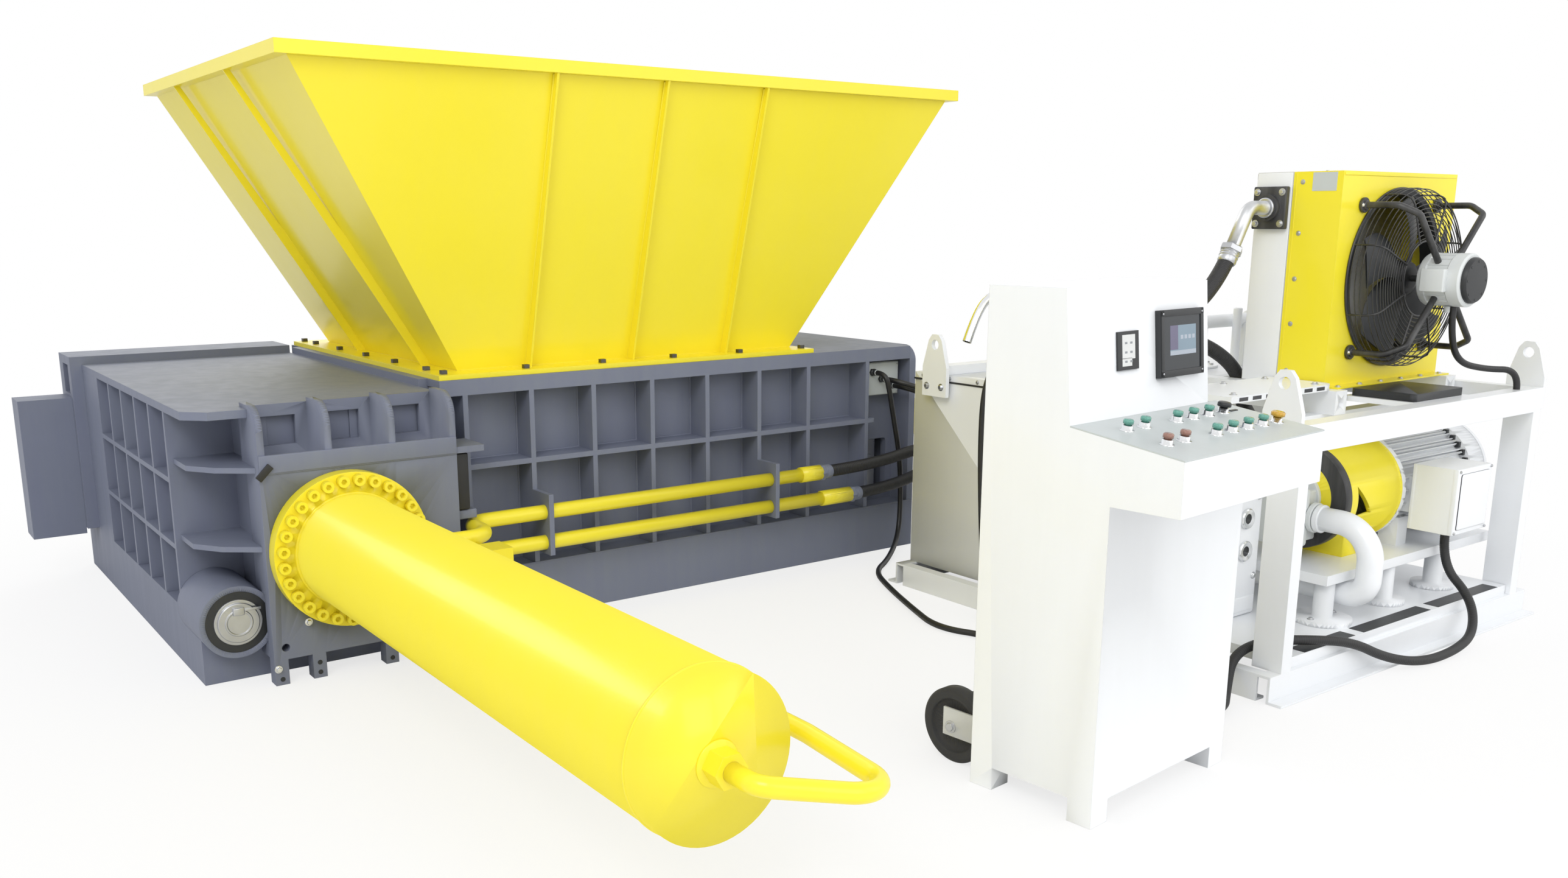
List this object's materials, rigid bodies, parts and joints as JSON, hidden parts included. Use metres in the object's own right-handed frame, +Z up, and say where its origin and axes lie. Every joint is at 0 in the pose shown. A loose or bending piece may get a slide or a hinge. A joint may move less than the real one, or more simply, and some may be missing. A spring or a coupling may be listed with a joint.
{
  "type": "recycling baler",
  "caption": "Two-way hydraulic baler for recycling: feed hopper, press chamber with a gate, yellow ram cylinder, power pack with a fan cooler, and a control console.",
  "frame": {"origin": "on the floor, below the crossing of the main ram's axis and the feed ram's axis", "axes": "+X along the feed box, from the press chamber towards the feed cylinder; +Y along the main ram, from its cylinder towards the gate; +Z up"},
  "size_m": [5.58, 5.042, 2.273],
  "materials": {
    "grey_blue_paint": "satin grey-blue enamel",
    "yellow_paint": "satin yellow enamel",
    "white_paint": "satin white enamel",
    "plate_grey": "pale grey enamel",
    "motor_grey": "light grey enamel",
    "bare_steel": "ground",
    "dark_steel": "oiled",
    "chrome_ring": "polished",
    "black_iron": "painted black",
    "core_aluminium": "bare",
    "black_wire": "black enamel",
    "black_rubber": "matt",
    "rubber_wheel": "matt",
    "black_plastic": "matt",
    "grey_plastic": "matt",
    "green_lens": "gloss",
    "red_lens": "gloss",
    "amber_lens": "gloss"
  },
  "bodies": {
    "body": {"base_frame": "grey_blue_paint", "chamber_wall": "grey_blue_paint", "chamber_top": "grey_blue_paint", "front_bulkhead": "grey_blue_paint", "rear_bulkhead": "grey_blue_paint", "feed_wall_front": "grey_blue_paint", "feed_wall_rear": "grey_blue_paint", "feed_end_plate": "grey_blue_paint", "hopper": "yellow_paint", "hopper_bolts": "dark_steel", "main_cylinder": "yellow_paint", "cylinder_bolts": "yellow_paint", "return_pipe": "yellow_paint", "supply_pipes": "yellow_paint", "gate_housing": "grey_blue_paint", "gate_cylinder": "yellow_paint", "side_cylinder": "grey_blue_paint", "feed_cylinder": "yellow_paint", "junction_box": "plate_grey", "console_cabinet": "white_paint", "desk_plate": "plate_grey", "touch_screen": "black_plastic", "button_bezels": "chrome_ring", "pack_frame": "white_paint", "oil_tank": "white_paint", "motor": "white_paint", "bell_housing": "yellow_paint", "pump": "motor_grey", "suction_pipe": "white_paint", "cooler_core": "core_aluminium", "cooler_shroud": "yellow_paint", "fan_guard": "black_wire", "fan_motor": "motor_grey", "switch_box": "black_plastic", "power_hoses": "black_rubber", "control_cables": "black_rubber", "cooler_hose": "black_rubber", "tank_hose": "black_rubber", "motor_conduit": "black_rubber"},
    "main_ram_body": {"main_ram": "bare_steel"},
    "feed_ram_body": {"feed_ram": "bare_steel"},
    "gate_body": {"gate": "bare_steel"},
    "side_ram_body": {"side_ram": "bare_steel"},
    "wheel_left_body": {"wheel_left": "rubber_wheel"},
    "wheel_right_body": {"wheel_right": "rubber_wheel"},
    "motor_rotor_body": {"motor_rotor": "bare_steel"},
    "fan_rotor_body": {"fan_rotor": "black_plastic"},
    "button_green_1_body": {"button_green_1": "green_lens"},
    "button_red_1_body": {"button_red_1": "red_lens"},
    "button_green_2_body": {"button_green_2": "green_lens"},
    "button_red_2_body": {"button_red_2": "red_lens"},
    "button_green_3_body": {"button_green_3": "green_lens"},
    "button_green_4_body": {"button_green_4": "green_lens"},
    "button_green_5_body": {"button_green_5": "green_lens"},
    "button_green_6_body": {"button_green_6": "green_lens"},
    "button_green_7_body": {"button_green_7": "green_lens"},
    "button_green_8_body": {"button_green_8": "green_lens"},
    "button_green_9_body": {"button_green_9": "green_lens"},
    "button_stop_body": {"button_stop": "black_plastic"},
    "button_amber_body": {"button_amber": "amber_lens"}
  },
  "joints": [
    {"name": "main_ram_slide", "type": "slide", "parent": "body", "child": "main_ram_body", "axis": [0, 1, 0], "range_m": [0, 1.65]},
    {"name": "feed_ram_slide", "type": "slide", "parent": "body", "child": "feed_ram_body", "axis": [-1, 0, 0], "range_m": [0, 2.085]},
    {"name": "gate_slide", "type": "slide", "parent": "body", "child": "gate_body", "axis": [-1, 0, 0], "range_m": [0, 0.505]},
    {"name": "side_ram_slide", "type": "slide", "parent": "body", "child": "side_ram_body", "axis": [0, 1, 0], "range_m": [0, 0.15]},
    {"name": "motor_spin", "type": "hinge", "parent": "body", "child": "motor_rotor_body", "pos_m": [3.8, -2.975, 0.58], "axis": [1, 0, 0], "continuous": true},
    {"name": "fan_spin", "type": "hinge", "parent": "body", "child": "fan_rotor_body", "pos_m": [3.8, -3.045, 1.44], "axis": [0, -1, 0], "continuous": true},
    {"name": "wheel_left_spin", "type": "hinge", "parent": "body", "child": "wheel_left_body", "pos_m": [1.2457, -3.11548, 0.122], "axis": [0.9954, 0.0958, 0], "continuous": true},
    {"name": "wheel_right_spin", "type": "hinge", "parent": "body", "child": "wheel_right_body", "pos_m": [1.76828, -3.06516, 0.122], "axis": [0.9954, 0.0958, 0], "continuous": true},
    {"name": "button_green_1_press", "type": "slide", "parent": "body", "child": "button_green_1_body", "axis": [-0.0133, 0.1385, -0.9903], "range_m": [0, 0.004], "stiffness_N_per_m": 2000, "springref_m": -0.001},
    {"name": "button_red_1_press", "type": "slide", "parent": "body", "child": "button_red_1_body", "axis": [-0.0133, 0.1385, -0.9903], "range_m": [0, 0.004], "stiffness_N_per_m": 2000, "springref_m": -0.001},
    {"name": "button_green_2_press", "type": "slide", "parent": "body", "child": "button_green_2_body", "axis": [-0.0133, 0.1385, -0.9903], "range_m": [0, 0.004], "stiffness_N_per_m": 2000, "springref_m": -0.001},
    {"name": "button_red_2_press", "type": "slide", "parent": "body", "child": "button_red_2_body", "axis": [-0.0133, 0.1385, -0.9903], "range_m": [0, 0.004], "stiffness_N_per_m": 2000, "springref_m": -0.001},
    {"name": "button_green_3_press", "type": "slide", "parent": "body", "child": "button_green_3_body", "axis": [-0.0133, 0.1385, -0.9903], "range_m": [0, 0.004], "stiffness_N_per_m": 2000, "springref_m": -0.001},
    {"name": "button_green_4_press", "type": "slide", "parent": "body", "child": "button_green_4_body", "axis": [-0.0133, 0.1385, -0.9903], "range_m": [0, 0.004], "stiffness_N_per_m": 2000, "springref_m": -0.001},
    {"name": "button_green_5_press", "type": "slide", "parent": "body", "child": "button_green_5_body", "axis": [-0.0133, 0.1385, -0.9903], "range_m": [0, 0.004], "stiffness_N_per_m": 2000, "springref_m": -0.001},
    {"name": "button_green_6_press", "type": "slide", "parent": "body", "child": "button_green_6_body", "axis": [-0.0133, 0.1385, -0.9903], "range_m": [0, 0.004], "stiffness_N_per_m": 2000, "springref_m": -0.001},
    {"name": "button_green_7_press", "type": "slide", "parent": "body", "child": "button_green_7_body", "axis": [-0.0133, 0.1385, -0.9903], "range_m": [0, 0.004], "stiffness_N_per_m": 2000, "springref_m": -0.001},
    {"name": "button_green_8_press", "type": "slide", "parent": "body", "child": "button_green_8_body", "axis": [-0.0133, 0.1385, -0.9903], "range_m": [0, 0.004], "stiffness_N_per_m": 2000, "springref_m": -0.001},
    {"name": "button_green_9_press", "type": "slide", "parent": "body", "child": "button_green_9_body", "axis": [-0.0133, 0.1385, -0.9903], "range_m": [0, 0.004], "stiffness_N_per_m": 2000, "springref_m": -0.001},
    {"name": "button_stop_press", "type": "slide", "parent": "body", "child": "button_stop_body", "axis": [-0.0133, 0.1385, -0.9903], "range_m": [0, 0.004], "stiffness_N_per_m": 2000, "springref_m": -0.001},
    {"name": "button_amber_press", "type": "slide", "parent": "body", "child": "button_amber_body", "axis": [-0.0133, 0.1385, -0.9903], "range_m": [0, 0.004], "stiffness_N_per_m": 2000, "springref_m": -0.001}
  ]
}
